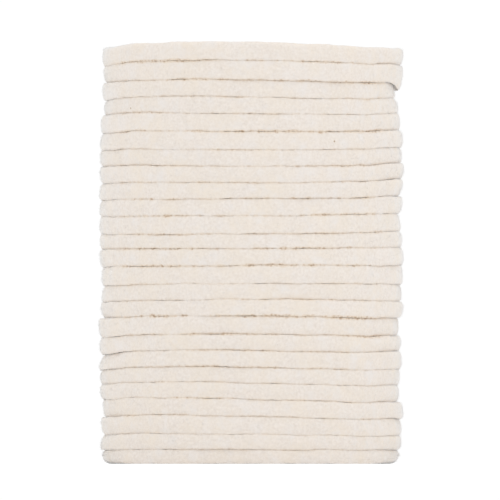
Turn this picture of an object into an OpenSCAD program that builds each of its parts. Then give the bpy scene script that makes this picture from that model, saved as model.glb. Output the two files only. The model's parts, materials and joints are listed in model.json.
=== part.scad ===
// A pile of loose felt polishing discs, each punched with a hole for the polishing arbor.
// The discs lie flat with their holes in line. +Z is up, along the arbor line, and the
// origin is where that line meets the face that the lowest disc rests on.

/* [Disc] */
// Diameter that the discs are punched to
disc_d = 115; // [90:1:150]
// Thickness of the thinnest disc
disc_t = 5.5; // [4:0.1:10]
// Rounding of the rim along its upper and lower edge
rim_r = 1.2; // [0.3:0.1:1.9]
// Diameter of the arbor hole
bore_d = 12.7; // [6:0.1:25.4]

/* [Pile] */
// Air between one disc and the next
seat_gap = 0.05; // [0.02:0.01:0.2]

/* [Spread of soft felt] */
// Thickness that one step in the list of cuts stands for
thickness_step = 0.2; // [0.05:0.05:0.3]
// Diameter that one step in the list of cuts stands for
diameter_step = 0.5; // [0.1:0.1:1]
// Distance off the arbor line that one step in the list of cuts stands for
shift_step = 0.25; // [0.05:0.05:0.5]

/* [Hidden] */
// How each disc differs from the nominal one, from the lowest up, counted in steps:
// [thicker, wider, rim shifted to +X, rim shifted to +Y]
CUTS = [
    [0, -4, -1, 1], [0, -2, 0, -2], [6, -2, 1, 0], [5, -2, 3, 2], [3, -2, -2, -1],
    [2, -2, -2, 1], [4, 0, 0, -3], [3, -1, -1, 0], [8, -2, -4, 2], [3, -1, 2, -1],
    [4, -2, 1, 3], [7, -1, 1, -2], [5, 1, 1, 0], [2, -1, 0, 1], [6, -1, -2, -1],
    [5, 0, 0, 2], [3, 0, 0, -2], [4, 1, 1, 0], [4, 0, 0, 3], [6, 0, 0, -1],
    [6, -3, -1, -1], [2, -7, 0, -5], [5, -9, -4, -6], [7, -3, 3, -1], [7, -2, 3, -1]
];
$fn = 96;

// Size and place of disc i, where disc 0 is the lowest
function thickness(i) = disc_t + thickness_step * CUTS[i][0];
function diameter(i) = disc_d + diameter_step * CUTS[i][1];
function rim_shift(i) = shift_step * [CUTS[i][2], CUTS[i][3]];
function seat_z(i) = i == 0 ? 0 : seat_z(i - 1) + thickness(i - 1) + seat_gap;

// Half section of a solid disc of radius r and thickness t, its two rim edges rounded
module disc_section(r, t) {
    square([r - rim_r, t]);
    translate([0, rim_r]) square([r, t - 2 * rim_r]);
    for (z = [rim_r, t - rim_r]) translate([r - rim_r, z]) circle(rim_r);
}

// One felt disc, where it lies in the pile: its hole is on the arbor line and its rim is
// a little off it, as the punch left it
module felt_disc(i) {
    t = thickness(i);
    color([0.93, 0.9, 0.86])
    translate([0, 0, seat_z(i)])
    difference() {
        translate(rim_shift(i)) rotate_extrude() disc_section(diameter(i) / 2, t);
        translate([0, 0, -t / 2]) cylinder(d = bore_d, h = 2 * t);
    }
}

for (i = [0 : len(CUTS) - 1]) {
    felt_disc(i);
}
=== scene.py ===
import json
import math
import bpy
import numpy as np
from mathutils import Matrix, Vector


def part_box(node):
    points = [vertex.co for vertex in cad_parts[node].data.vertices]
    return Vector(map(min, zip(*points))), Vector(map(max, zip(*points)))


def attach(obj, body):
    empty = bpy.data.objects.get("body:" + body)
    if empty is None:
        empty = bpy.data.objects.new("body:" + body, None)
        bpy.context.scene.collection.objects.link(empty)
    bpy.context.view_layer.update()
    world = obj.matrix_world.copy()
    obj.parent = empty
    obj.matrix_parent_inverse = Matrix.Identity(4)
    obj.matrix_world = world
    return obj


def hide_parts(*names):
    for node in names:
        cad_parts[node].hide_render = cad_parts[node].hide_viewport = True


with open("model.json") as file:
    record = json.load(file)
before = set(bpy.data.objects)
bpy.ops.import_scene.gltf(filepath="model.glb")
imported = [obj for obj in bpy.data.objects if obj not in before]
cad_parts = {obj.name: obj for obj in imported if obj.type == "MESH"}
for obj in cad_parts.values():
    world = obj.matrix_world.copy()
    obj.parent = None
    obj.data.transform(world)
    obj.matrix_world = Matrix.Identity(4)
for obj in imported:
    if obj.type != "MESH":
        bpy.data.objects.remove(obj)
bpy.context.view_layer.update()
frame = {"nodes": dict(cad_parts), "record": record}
mm = 0.001
print("frame loaded:", len(frame["nodes"]), "discs")


# The camera stands far off and low, so that the pile's base is seen edge-on.
cameraSetup = {
    "distance": 8.0,  # from the arbor line
    "eyeHeight": 1 * mm,  # above the floor
    "aimHeight": 82.0 * mm,
    "aimAcross": -0.4 * mm,
    "frameWidth": 191.8 * mm,  # what the frame covers at the arbor line
    "sensorWidth": 36.0,
}


# Focal length = sensor width * distance / width covered.
def makeCamera():
    c = cameraSetup
    data = bpy.data.cameras.new("camera")
    data.sensor_width = c["sensorWidth"]
    data.lens = c["sensorWidth"] * c["distance"] / c["frameWidth"]
    data.clip_start = 0.05
    data.clip_end = 60
    camera = bpy.data.objects.new("camera", data)
    bpy.context.scene.collection.objects.link(camera)
    camera.location = (c["aimAcross"], -c["distance"], c["eyeHeight"])
    rise = math.atan((c["aimHeight"] - c["eyeHeight"]) / c["distance"])
    camera.rotation_euler = (math.pi / 2 + rise, 0, 0)
    bpy.context.scene.camera = camera


makeCamera()
print("camera made")


# Every wave, lump and grain of the felt comes from this sum of plane waves with random
# directions and phases, cos(k . p + phase). Wavelengths spread evenly in octaves from
# shortest to longest, and the sum's spread is 1.
def waves(points, seed, shortest, longest, count=40):
    draw = np.random.default_rng(seed)
    length = shortest * (longest / shortest) ** draw.random(count)
    way = draw.normal(size=(count, 3))
    way /= np.linalg.norm(way, axis=1)[:, None]
    phase = draw.random(count) * 2 * np.pi
    turns = points @ (way * (2 * np.pi / length)[:, None]).T + phase
    return np.cos(turns).sum(axis=-1) * math.sqrt(2 / count)


# The same from a spread, a shortest and a longest wavelength in mm: spread * waves.
def grain(points, seed, spread, shortest, longest, count=40):
    return spread * mm * waves(points, seed, shortest * mm, longest * mm, count)


# Rises from 0 to 1 as x goes from starts to ends, level at both: 3 t^2 - 2 t^3, where t is
# the share of the way.
def smooth(x, starts, ends):
    t = np.clip((x - starts) / (ends - starts), 0, 1)
    return t * t * (3 - 2 * t)


# How the pile's seams bend, and how loosely each one is shut.
pile = {
    # share of the pile's height, for the three rows below
    "atHeight": (0.0, 0.07, 0.15, 0.19, 0.27, 0.39, 0.50, 0.60, 0.70, 0.80, 0.88, 0.95, 1.0),
    # mm, middle above ends
    "crown": (0.0, 0.2, 0.6, 0.8, 0.6, 0.3, -0.3, -1.0, -1.2, -0.7, -0.2, 1.3, 1.7),
    # mm, right above left
    "tilt": (-0.4, -1.3, -2.6, -2.2, -1.0, 0.1, 0.8, 1.0, 0.4, -0.8, -1.1, -1.6, -2.0),
    # mm, right end up and left end down
    "curl": (0.2, 0.6, 0.9, 0.9, 0.9, 0.1, 0.0, 0.2, 0.6, 0.9, 0.9, 0.9, 0.8),
    "curlFrom": 0.75,  # share of the radius across, where the curl starts
    # mm: spread, shortest and longest wavelength of each seam's own waves
    "wave": (0.10, 45, 150),
    "ripple": (0.08, 10, 30),
    "jitter": (0.035, 2, 5),
    # tenths, seam by seam
    "slack": (3, 2, 4, 5, 4, 5, 5, 6, 10, 4, 4, 8, 7, 6, 9, 6, 5, 5, 4, 8, 5, 4, 7, 8),
    "touch": 0.004,  # mm, between a face and its seam
    # slack's waves: share, and shortest and longest wavelength in mm
    "uneven": ((0.30, 25, 90), (0.20, 5, 12), (0.30, 1.8, 3.5)),
    "mostUneven": 2.5,  # the most that they multiply the slack by
    "gap": 0.03,  # mm, opening at the mouth of a slack seam
    "mouth": 2.0,  # mm, depth that an open seam reaches in
    "felted": (0.84, 0.95),  # share of the radius across, where the slack starts to fade and has faded
    "feltedShut": 0.9,  # how much of it fades
    "footSlack": 0.8,  # slack that the pile's foot and its top count as having
    "seed": 100,
}

nodes = sorted(frame["nodes"])
boxes = [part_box(name) for name in nodes]
pileTop = boxes[-1][1].z
pileRadius = (boxes[0][1].x - boxes[0][0].x) / 2


# Height of seam k at (x, y), with u = x over the pile's radius: its level in the frame
# + crown (1/2 - u^2) + tilt u/2 + curl at the two ends + its own waves.
# Seam 0 is the floor, and the last one is the pile's top.
def seamHeight(k, x, y):
    if k == 0:
        return boxes[0][0].z + 0 * x
    level = boxes[k - 1][1].z
    crown, tilt, curl = [np.interp(level / pileTop, pile["atHeight"], pile[name]) * mm
                         for name in ("crown", "tilt", "curl")]
    u = x / pileRadius
    atEnd = smooth(np.abs(u), pile["curlFrom"], 1)
    height = level + crown * (0.5 - u ** 2) + tilt * u / 2 + curl * np.sign(u) * atEnd
    points = np.stack([x, y, 0 * x], axis=-1)
    height += grain(points, pile["seed"] + k, *pile["wave"])
    height += grain(points, pile["seed"] + 50 + k, *pile["ripple"])
    height += grain(points, pile["seed"] + 80 + k, *pile["jitter"])
    return height


# How loose seam k is at (x, y): its own slack times 1 plus long, middling and short waves,
# fading to nearly nothing at the pile's two sides, where the wool has felted over the seams.
def seamSlack(k, x, y):
    if k == 0 or k > len(pile["slack"]):
        return pile["footSlack"] + 0 * x
    points = np.stack([x, y, 0 * x], axis=-1)
    uneven = 0 * x
    for j, (share, shortest, longest) in enumerate(pile["uneven"]):
        uneven += share * waves(points, pile["seed"] + 200 + 100 * j + k, shortest * mm, longest * mm)
    fade = 1 - pile["feltedShut"] * smooth(np.abs(x) / pileRadius, *pile["felted"])
    return pile["slack"][k - 1] / 10 * np.clip(1 + uneven, 0, pile["mostUneven"]) * fade


# One felt disc.
disc = {
    "around": 480,  # columns round the rim
    "faceRings": (6, 10, 26),  # on a lower face, an upper face and the pile's top
    "crowding": (2.2, 1.2),  # how strongly they crowd towards the rim, and on the pile's top
    "lipRings": 4,
    "rimRings": 6,
    "boreRings": 2,
    "lipHeight": (0.6, 0.3, 0.7),  # mm, of a shut seam's worn lips, what slack adds and what the ends add
    "lipDepth": (0.02, 0.08, 0.5),  # mm, likewise
    "footLip": (0.2, 2.8),  # mm, height and depth of the lowest edge, and what the ends add
    "topLip": (1.6, 1.6),  # mm, height and depth of the uppermost edge
    "sides": (0.8, 1.0),  # share of the radius across, where the pile's ends begin and are full
    "ownRim": 0.35,  # how much of its own place each rim keeps at the pile's front and back
    "lump": (0.14, 15, 90),  # mm: spread, shortest and longest wavelength of the rim's lumps
    "slant": (0.3, 0.5),  # mm over the rim's height: the lean's spread, and what the ends add
    "slantWaves": (60, 200),  # mm, its shortest and longest wavelength
    "holeWaves": (0.15, 16, 64),  # mm, unevenness of the hole
    "bulge": 0.35,  # mm, how far the rim's middle stands out
    "overhang": (2.0, 3.0),  # mm past the neighbour's rim where an edge starts to bend, and bends fully
    "droop": 1.0,  # how far a fully bent edge sags, as a share of the overhang
    "swell": 0.6,  # how far it rises where nothing presses on it, likewise
    "pebble": (0.04, 6, 18),  # mm, grain of the rim and the top
    "fibre": (0.03, 1.5, 4),  # mm, finer grain near the rim
    "soft": 4.0,  # mm, how far in from the rim the lean, the bulge and the finer grain reach
    "pressed": (1.2, 4.2),  # mm in from the rim, where the faces' grain starts to die out and is gone
    "paintedShadeReach": (2.6, 0.6),  # mm in from the rim, where the painted seam shade is gone and where it is full
    "paintedShadeLeast": 0.1,  # painted seam shade of a shut seam, as a share of a loose one's
    "seed": 1000,
}
angle = np.arange(disc["around"]) * 2 * np.pi / disc["around"]
out = np.stack([np.cos(angle), np.sin(angle)], axis=1)
side = smooth(np.abs(out[:, 0]), *disc["sides"])  # 1 at the left and right end, 0 elsewhere


# Distance from the arbor line to disc i's rim at each angle: the frame's off-centre circle,
# drawn towards the pile's radius at the front and back, plus long lumps. A missing neighbour
# reaches further than any disc.
def rimOf(i):
    if not 0 <= i < len(nodes):
        return np.full(len(out), 2 * pileRadius)
    low, high = boxes[i]
    centre = np.array([(low.x + high.x) / 2, (low.y + high.y) / 2])
    across = centre[0] * out[:, 1] - centre[1] * out[:, 0]
    rim = out @ centre + np.sqrt(((high.x - low.x) / 2) ** 2 - across ** 2)
    rim = pileRadius + (rim - pileRadius) * (disc["ownRim"] + (1 - disc["ownRim"]) * side)
    points = np.c_[out * rim[:, None], 0 * rim]
    return rim + grain(points, disc["seed"] + i, *disc["lump"])


# How far points at radius r reach past the rim other, counted only where rim overhangs it so
# much that it bends.
def pastRim(r, rim, other):
    bent = smooth((rim - other) / mm, *disc["overhang"])
    return np.maximum(r - other[:, None], 0) * bent[:, None]


# Disc i as a closed grid, angle by profile. At each angle the profile runs out along the
# lower face, round the lower lip, up the rim, round the upper lip, in along the upper face
# and down the hole. A face lies on its seam, half the gap off; a lip is a parabola, so that
# two make a V-shaped groove, and at the pile's foot and top edge a quarter ellipse; the rim
# leans and bulges, and an edge well past its neighbour's sags or swells. Returns the
# grid, the outward and upward parts of the profile's normals, how much painted seam shade each
# point gets (more the deeper it is in a loose seam), and the profile's place where each stretch starts.
def discSurface(i):
    d = disc
    topmost = i == len(nodes) - 1
    rim = rimOf(i)
    rimPoints = np.c_[out * rim[:, None], np.full(len(out), boxes[i][0].z)]
    lean = d["slant"][0] + d["slant"][1] * side
    lean = lean * grain(rimPoints, d["seed"] + 100 + i, 1, *d["slantWaves"])
    bore = boreRadius + grain(rimPoints, d["seed"] + 200 + i, *d["holeWaves"])

    ends = []  # lower and upper side: slack at the rim, lip height, lip depth
    for k in (i, i + 1):
        slack = seamSlack(k, rimPoints[:, 0], rimPoints[:, 1])
        height, depth = [(shut + loose * slack + end * side) * mm
                         for shut, loose, end in (d["lipHeight"], d["lipDepth"])]
        if k == 0:
            height = (d["footLip"][0] + d["footLip"][1] * side) * mm
            depth = height
        if k == len(nodes):
            height = d["topLip"][0] * mm + 0 * slack
            depth = d["topLip"][1] * mm + 0 * slack
        ends.append((slack, height, depth))

    # Radius and height on the lower face (which 0) or the upper one (which 1), for share 0 at
    # the hole to 1 at the lip.
    def face(which, share):
        slack, _, depth = ends[which]
        edge = rim - depth
        r = bore[:, None] + (edge - bore)[:, None] * share[None, :]
        reach = smooth(edge[:, None] - r, pile["mouth"] * mm, 0)
        gap = pile["touch"] * mm + pile["gap"] * mm / 2 * slack[:, None] ** 2 * reach
        z = np.maximum(seamHeight(i + which, r * out[:, :1], r * out[:, 1:]), 0)
        if which == 1:
            z = z - gap
        elif i > 0:
            z = z + gap
        return r, z

    rings = (d["faceRings"][0], d["faceRings"][2 if topmost else 1])
    crowd = d["crowding"]
    lowR, lowZ = face(0, 1 - np.linspace(1, 0, rings[0]) ** crowd[0])
    highR, highZ = face(1, 1 - np.linspace(0, 1, rings[1]) ** crowd[1 if topmost else 0])
    bottom, top = lowZ[:, -1:], highZ[:, :1]
    turn = np.linspace(0, np.pi / 2, d["lipRings"] + 2)[1:]
    climbed = turn / (np.pi / 2)
    worn = ((1 - climbed) ** 2, climbed)
    rounded = (1 - np.sin(turn), 1 - np.cos(turn))
    inwards, climb = rounded if i == 0 else worn
    lip0R = rim[:, None] - ends[0][2][:, None] * inwards
    lip0Z = bottom + ends[0][1][:, None] * climb
    inwards, climb = rounded if topmost else worn
    lip1R = rim[:, None] - ends[1][2][:, None] * inwards[::-1]
    lip1Z = top - ends[1][1][:, None] * climb[::-1]
    up = np.linspace(0, 1, d["rimRings"] + 2)[None, 1:-1]
    rimZ = lip0Z[:, -1:] + (lip1Z[:, :1] - lip0Z[:, -1:]) * up
    rimR = rim[:, None] + 0 * rimZ
    down = np.linspace(0, 1, d["boreRings"] + 2)[None, 1:-1]
    boreZ = highZ[:, -1:] + (lowZ[:, :1] - highZ[:, -1:]) * down
    boreR = bore[:, None] + 0 * boreZ

    r = np.hstack([lowR, lip0R, rimR, lip1R, highR, boreR])
    z = np.hstack([lowZ, lip0Z, rimZ, lip1Z, highZ, boreZ])
    counts = [part.shape[1] for part in (lowR, lip0R, rimR, lip1R, highR, boreR)]
    starts = np.cumsum([0] + counts)
    zeros = [np.zeros(n) for n in counts]
    ones = [np.ones(n) for n in counts]
    outward = np.concatenate([zeros[0], np.sin(turn), ones[2], np.sin(turn[::-1]), zeros[4], -ones[5]])
    upward = np.concatenate([-ones[0], -np.cos(turn), zeros[2], np.cos(turn[::-1]), ones[4], zeros[5]])

    share = (z - bottom) / (top - bottom)
    inside = (rim[:, None] - r) / mm
    nearRim = smooth(inside, d["soft"], 0)
    sag = pastRim(r, rim, rimOf(i - 1))
    rise = pastRim(r, rim, rimOf(i + 1))
    r = r + nearRim * (lean[:, None] * (share - 0.5) + d["bulge"] * mm * (1 - (2 * share - 1) ** 2))
    z = z - d["droop"] * sag * (1 - share) + d["swell"] * rise * share
    points = np.stack([r * out[:, :1], r * out[:, 1:], z], axis=-1)

    pebble = grain(points, d["seed"] + 300 + i, *d["pebble"])
    fibre = grain(points, d["seed"] + 400 + i, *d["fibre"], 60)
    inside = (rim[:, None] - r) / mm
    pressed = np.abs(upward)[None, :] * smooth(inside, *d["pressed"])
    if topmost:
        pressed = pressed * (upward < 0)[None, :]
    swelling = (pebble + fibre * nearRim) * (1 - pressed)
    points[..., 0] += swelling * outward * out[:, :1]
    points[..., 1] += swelling * outward * out[:, 1:]
    points[..., 2] += swelling * upward
    if i == 0:
        points[..., 2] = np.maximum(points[..., 2], 0)

    # Painted seam shade: a weight for the tan tint that stands in for the shadow in each seam, on the
    # faces near the rim and more in a loose seam.
    lowSide = (upward < 0) * (i > 0)
    highSide = (upward > 0) * (not topmost)
    loose = ends[0][0][:, None] * lowSide + ends[1][0][:, None] * highSide
    shadeNearEdge = smooth(inside, *d["paintedShadeReach"])
    paintedSeamShade = np.abs(upward) ** 2 * (d["paintedShadeLeast"] + (1 - d["paintedShadeLeast"]) * loose)
    paintedSeamShade = paintedSeamShade * (lowSide + highSide) * shadeNearEdge
    return points, outward, upward, np.clip(paintedSeamShade, 0, 1), starts


# Loose wool ends that stand off the rim.
nap = {
    "perDisc": 3000,
    "length": (0.5, 1.5),  # mm
    "width": 0.05,  # mm, at the root
    "lie": (0.4, 1.4),  # radians, how far an end leans over from upright
    "light": (0.97, 0.965, 0.96),
    "dark": (0.93, 0.91, 0.89),
    "toneScale": 400,  # waves of tone in a metre
    "seed": 5000,
}


# Thin four-cornered spikes rooted in the band of the grid from profile row first to last:
# each root is a random place in a grid cell, and the spike leans from the surface's normal
# by the angle of lie, in a random direction along the surface.
def napSurface(i, points, outward, upward, first, last):
    draw = np.random.default_rng(nap["seed"] + i)
    count = nap["perDisc"]
    steps = np.linalg.norm(np.diff(points[:, first:last + 1], axis=1), axis=2).mean(axis=0)
    along = np.concatenate([[0], np.cumsum(steps)])
    row = np.interp(draw.random(count) * along[-1], along, np.arange(first, last + 1))
    column = draw.random(count) * len(points)
    a = column.astype(int)
    b = np.minimum(row.astype(int), last - 1)
    fa = (column - a)[:, None]
    fb = (row - b)[:, None]
    a2 = (a + 1) % len(points)
    root = (points[a, b] * (1 - fb) + points[a, b + 1] * fb) * (1 - fa)
    root += (points[a2, b] * (1 - fb) + points[a2, b + 1] * fb) * fa
    turn = column * 2 * np.pi / len(points)
    outwards = outward[b] * (1 - fb[:, 0]) + outward[b + 1] * fb[:, 0]
    upwards = upward[b] * (1 - fb[:, 0]) + upward[b + 1] * fb[:, 0]
    normal = np.stack([outwards * np.cos(turn), outwards * np.sin(turn), upwards], axis=1)
    normal /= np.linalg.norm(normal, axis=1)[:, None]
    around = np.stack([-np.sin(turn), np.cos(turn), 0 * turn], axis=1)
    across = np.cross(normal, around)
    lie = nap["lie"][0] + (nap["lie"][1] - nap["lie"][0]) * draw.random(count)
    spin = draw.random(count) * 2 * np.pi
    way = normal * np.cos(lie)[:, None]
    way += (around * np.cos(spin)[:, None] + across * np.sin(spin)[:, None]) * np.sin(lie)[:, None]
    second = np.cross(way, normal)
    second /= np.linalg.norm(second, axis=1)[:, None]
    third = np.cross(way, second)
    length = (nap["length"][0] + (nap["length"][1] - nap["length"][0]) * draw.random(count)) * mm
    half = nap["width"] / 2 * mm
    start = root - normal * half
    thirds = (0, 2.094, 4.189)  # of a turn, in radians
    corners = [start + half * (second * math.cos(t) + third * math.sin(t)) for t in thirds]
    spikes = np.stack(corners + [root + way * length[:, None]], axis=1)
    spikes[..., 2] = np.maximum(spikes[..., 2], 0)
    return spikes


# A mesh from vertices and equal-sided faces, smooth shaded, with a material.
def makeMesh(name, vertices, faces, material):
    mesh = bpy.data.meshes.new(name)
    mesh.vertices.add(len(vertices))
    mesh.vertices.foreach_set("co", vertices.reshape(-1).astype(np.float32))
    mesh.loops.add(faces.size)
    mesh.loops.foreach_set("vertex_index", faces.reshape(-1).astype(np.int32))
    mesh.polygons.add(len(faces))
    mesh.polygons.foreach_set("loop_start", (np.arange(len(faces)) * faces.shape[1]).astype(np.int32))
    mesh.polygons.foreach_set("use_smooth", np.ones(len(faces), bool))
    mesh.update(calc_edges=True)
    mesh.validate()
    mesh.materials.append(material)
    piece = bpy.data.objects.new(name, mesh)
    bpy.context.scene.collection.objects.link(piece)
    return piece


# Quads over a grid that closes on itself both ways.
def gridFaces(n, m):
    a = np.arange(n)[:, None] * m + np.arange(m)[None, :]
    b = np.roll(a, -1, axis=0)
    return np.stack([a, b, np.roll(b, -1, axis=1), np.roll(a, -1, axis=1)], axis=-1).reshape(-1, 4)


# Three sides and the root end of each spike.
def spikeFaces(count):
    one = np.array([[0, 1, 3], [1, 2, 3], [2, 0, 3], [0, 2, 1]])
    return (np.arange(count)[:, None, None] * 4 + one[None]).reshape(-1, 3)


# Undyed pressed wool. A scale counts the noise's waves in a metre.
felt = {
    "light": (0.905, 0.842, 0.783),
    "dark": (0.805, 0.732, 0.665),
    "warm": (0.875, 0.785, 0.675),
    "pale": (0.865, 0.822, 0.790),
    # tan painted shade that stands in for the shadow inside the seams
    "paintedSeamShade": (0.74, 0.56, 0.36),
    "fineScale": 1000,
    "warmScale": 90,
    "warmStrength": 0.6,
    "paleScale": 160,
    "paleStrength": 0.8,
    # how strongly the painted seam shade tints the felt
    "seamShadeStrength": 0.36,
    # brown dashes of painted shade that stand in for the darker shadow where a seam gapes: colour,
    # strength and scale
    "shadeDash": (0.40, 0.23, 0.10),
    "shadeDashStrength": 0.75,
    "shadeDashScale": 800,
    "fleck": (0.42, 0.30, 0.17),
    "fleckScale": 90,
    "fleckSize": 0.028,  # share of a cell
    "fleckless": 0.8,  # share of the cells without one
    "bumpScale": 900,
    "bumpStrength": 0.25,
    "bumpHeight": 0.35,  # mm
    "roughness": 0.95,
    "specular": 0.25,
    "sheen": 1.0,
    "sheenTint": (0.93, 0.97, 1.0),
    "sheenRoughness": 0.3,
}


# A matte shader with sheen, the Object coordinates and a maker of noise nodes on them.
def woolShader(name):
    material = bpy.data.materials.new(name)
    material.use_nodes = True
    tree = material.node_tree
    shader = tree.nodes["Principled BSDF"]
    shader.inputs["Roughness"].default_value = felt["roughness"]
    shader.inputs["Specular IOR Level"].default_value = felt["specular"]
    shader.inputs["Sheen Weight"].default_value = felt["sheen"]
    shader.inputs["Sheen Tint"].default_value = (*felt["sheenTint"], 1)
    shader.inputs["Sheen Roughness"].default_value = felt["sheenRoughness"]
    place = tree.nodes.new("ShaderNodeTexCoord")

    def noise(scale, detail, roughness=0.6):
        node = tree.nodes.new("ShaderNodeTexNoise")
        node.inputs["Scale"].default_value = scale
        node.inputs["Detail"].default_value = detail
        node.inputs["Roughness"].default_value = roughness
        tree.links.new(place.outputs["Object"], node.inputs["Vector"])
        return node.outputs["Fac"]

    return material, shader, place, noise


# value mapped from low..high to 0..most.
def stretched(tree, value, low, high, most=1.0):
    node = tree.nodes.new("ShaderNodeMapRange")
    tree.links.new(value, node.inputs["Value"])
    node.inputs["From Min"].default_value = low
    node.inputs["From Max"].default_value = high
    node.inputs["To Max"].default_value = most
    return node.outputs["Result"]


# first (a colour or a socket) blended into the colour second by factor.
def blended(tree, factor, first, second):
    node = tree.nodes.new("ShaderNodeMix")
    node.data_type = "RGBA"
    tree.links.new(factor, node.inputs["Factor"])
    if isinstance(first, tuple):
        node.inputs[6].default_value = (*first, 1)
    else:
        tree.links.new(first, node.inputs[6])
    node.inputs[7].default_value = (*second, 1)
    return node.outputs[2]


# value1 operation value2, where value2 is a number or a socket.
def workedOut(tree, operation, value1, value2):
    node = tree.nodes.new("ShaderNodeMath")
    node.operation = operation
    tree.links.new(value1, node.inputs[0])
    if isinstance(value2, (int, float)):
        node.inputs[1].default_value = value2
    else:
        tree.links.new(value2, node.inputs[1])
    return node.outputs[0]


# Felt: fine noise between two tones, warmer and paler patches, painted seam shade as a tan tint and
# brown dashes in the seams, rare flecks of straw, and a bump of felted fibre.
def feltMaterial():
    material, shader, place, noise = woolShader("naturalWoolFelt")
    tree = material.node_tree
    fine = stretched(tree, noise(felt["fineScale"], 3), 0.3, 0.7)
    wool = blended(tree, fine, felt["dark"], felt["light"])
    warm = stretched(tree, noise(felt["warmScale"], 3), 0.4, 0.7, felt["warmStrength"])
    wool = blended(tree, warm, wool, felt["warm"])
    pale = stretched(tree, noise(felt["paleScale"], 3), 0.5, 0.75, felt["paleStrength"])
    wool = blended(tree, pale, wool, felt["pale"])
    # Painted shade: a tan tint by the seam attribute, standing in for the shadow between the discs.
    depth = tree.nodes.new("ShaderNodeAttribute")
    depth.attribute_name = "paintedSeamShade"
    seamShade = workedOut(tree, "MULTIPLY", depth.outputs["Fac"], felt["seamShadeStrength"])
    wool = blended(tree, seamShade, wool, felt["paintedSeamShade"])
    # Brown dashes of painted shade, strongest deepest in loose seams.
    shadeDash = stretched(tree, noise(felt["shadeDashScale"], 4, 0.7), 0.5, 0.62, felt["shadeDashStrength"])
    shadeDash = workedOut(tree, "MULTIPLY", workedOut(tree, "POWER", depth.outputs["Fac"], 2.0), shadeDash)
    wool = blended(tree, shadeDash, wool, felt["shadeDash"])

    cells = tree.nodes.new("ShaderNodeTexVoronoi")
    cells.inputs["Scale"].default_value = felt["fleckScale"]
    tree.links.new(place.outputs["Object"], cells.inputs["Vector"])
    near = workedOut(tree, "LESS_THAN", cells.outputs["Distance"], felt["fleckSize"])
    draw = tree.nodes.new("ShaderNodeSeparateColor")
    tree.links.new(cells.outputs["Color"], draw.inputs["Color"])
    few = workedOut(tree, "GREATER_THAN", draw.outputs[0], felt["fleckless"])
    wool = blended(tree, workedOut(tree, "MULTIPLY", near, few), wool, felt["fleck"])
    tree.links.new(wool, shader.inputs["Base Color"])

    bump = tree.nodes.new("ShaderNodeBump")
    bump.inputs["Strength"].default_value = felt["bumpStrength"]
    bump.inputs["Distance"].default_value = felt["bumpHeight"] * mm
    tree.links.new(noise(felt["bumpScale"], 5, 0.65), bump.inputs["Height"])
    tree.links.new(bump.outputs["Normal"], shader.inputs["Normal"])
    return material


# Loose ends: paler and greyer than the felt, in two tones.
def napMaterial():
    material, shader, _, noise = woolShader("looseWool")
    tree = material.node_tree
    tone = stretched(tree, noise(nap["toneScale"], 1), 0.35, 0.65)
    wool = blended(tree, tone, nap["dark"], nap["light"])
    tree.links.new(wool, shader.inputs["Base Color"])
    return material


boreMount = next(m for m in frame["record"]["mounts"] if m["name"] == "arbor_bore")
boreRadius = boreMount["dims"]["r_mm"] * mm
feltFinish = feltMaterial()
napFinish = napMaterial()
bodies = frame["record"]["behaviour"]["bodies"]
bodyOf = {node: body for body, members in bodies.items() for node in members}
for i, node in enumerate(nodes):
    points, outward, upward, paintedSeamShade, starts = discSurface(i)
    name = "felt_wheel_" + node[-2:]
    piece = makeMesh(name, points.reshape(-1, 3), gridFaces(*points.shape[:2]), feltFinish)
    # The weight of the painted seam shade, as an attribute on the mesh.
    piece.data.attributes.new("paintedSeamShade", "FLOAT", "POINT").data.foreach_set("value", paintedSeamShade.reshape(-1))
    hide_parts(node)
    spikes = napSurface(i, points, outward, upward, starts[1] - 1, starts[4])
    ends = makeMesh(name + "_nap", spikes.reshape(-1, 3), spikeFaces(len(spikes)), napFinish)
    for part in (piece, ends):
        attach(part, bodyOf[node])
print("discs made:", len(nodes))


# Stage and light.
studio = {
    "worldLight": 0.97,
    "white": 1.03,  # what the camera sees behind the pile
    "floorColour": (0.95, 0.95, 0.95),
    "floorSize": 8.0,
    "floorGlow": 0.2,  # to the camera alone, so that the floor is as white as the rest
    "key": {"at": (2.2, -1.0, 1.2), "size": 1.6, "power": 1.8},
    "top": {"at": (0.0, -0.3, 2.2), "size": 1.8, "power": 4.0},
}


# White where the camera, a mirror or glass looks, and the lit shader elsewhere.
def cameraWhite(tree, lit, white):
    path = tree.nodes.new("ShaderNodeLightPath")
    seen = workedOut(tree, "MAXIMUM", path.outputs["Is Camera Ray"], path.outputs["Is Glossy Ray"])
    seen = workedOut(tree, "MAXIMUM", seen, path.outputs["Is Transmission Ray"])
    mix = tree.nodes.new("ShaderNodeMixShader")
    tree.links.new(seen, mix.inputs[0])
    tree.links.new(lit, mix.inputs[1])
    tree.links.new(white, mix.inputs[2])
    return mix.outputs[0]


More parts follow.
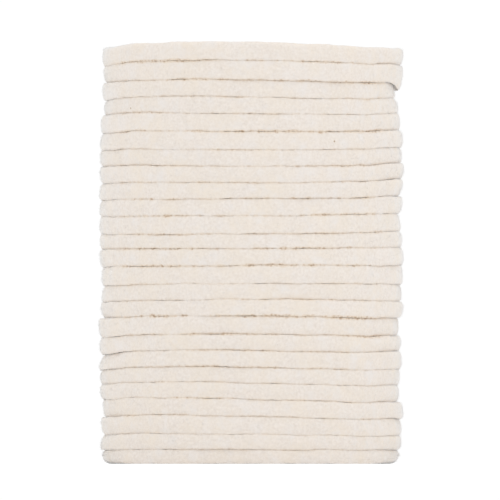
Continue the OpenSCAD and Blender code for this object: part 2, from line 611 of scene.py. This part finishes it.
# White where the camera looks past the pile, and studio light on the pile itself.
def makeWorld():
    world = bpy.data.worlds.new("studio")
    bpy.context.scene.world = world
    world.use_nodes = True
    tree = world.node_tree
    lit = tree.nodes["Background"]
    lit.inputs["Color"].default_value = (1, 1, 1, 1)
    lit.inputs["Strength"].default_value = studio["worldLight"]
    white = tree.nodes.new("ShaderNodeBackground")
    white.inputs["Color"].default_value = (1, 1, 1, 1)
    white.inputs["Strength"].default_value = studio["white"]
    surface = cameraWhite(tree, lit.outputs[0], white.outputs[0])
    tree.links.new(surface, tree.nodes["World Output"].inputs["Surface"])


# A square sheet of white paper, which glows faintly to the camera.
def makeFloor():
    half = studio["floorSize"] / 2
    mesh = bpy.data.meshes.new("floor")
    corners = [(-half, -half, 0), (half, -half, 0), (half, half, 0), (-half, half, 0)]
    mesh.from_pydata(corners, [], [(0, 1, 2, 3)])
    floor = bpy.data.objects.new("floor", mesh)
    bpy.context.scene.collection.objects.link(floor)
    material = bpy.data.materials.new("floorPaper")
    material.use_nodes = True
    tree = material.node_tree
    shader = tree.nodes["Principled BSDF"]
    shader.inputs["Base Color"].default_value = (*studio["floorColour"], 1)
    shader.inputs["Roughness"].default_value = 1
    shader.inputs["Specular IOR Level"].default_value = 0
    glow = tree.nodes.new("ShaderNodeEmission")
    glow.inputs["Strength"].default_value = studio["floorGlow"]
    lifted = tree.nodes.new("ShaderNodeAddShader")
    tree.links.new(shader.outputs[0], lifted.inputs[0])
    tree.links.new(glow.outputs[0], lifted.inputs[1])
    surface = cameraWhite(tree, shader.outputs[0], lifted.outputs[0])
    tree.links.new(surface, tree.nodes["Material Output"].inputs["Surface"])
    mesh.materials.append(material)


# A square lamp that faces the middle of the pile.
def makeLamp(name, at, size, power):
    data = bpy.data.lights.new(name, "AREA")
    data.shape = "SQUARE"
    data.size = size
    data.energy = power
    lamp = bpy.data.objects.new(name, data)
    bpy.context.scene.collection.objects.link(lamp)
    lamp.location = at
    toPile = (-at[0], -at[1], pileTop / 2 - at[2])
    flat = math.hypot(toPile[0], toPile[1])
    turn = math.atan2(toPile[1], toPile[0]) - math.pi / 2
    lamp.rotation_euler = (math.atan2(flat, -toPile[2]), 0, turn)


makeWorld()
makeFloor()
makeLamp("keyLamp", **studio["key"])
makeLamp("topLamp", **studio["top"])
bpy.context.scene.view_settings.view_transform = "Standard"
print("stage and light made")
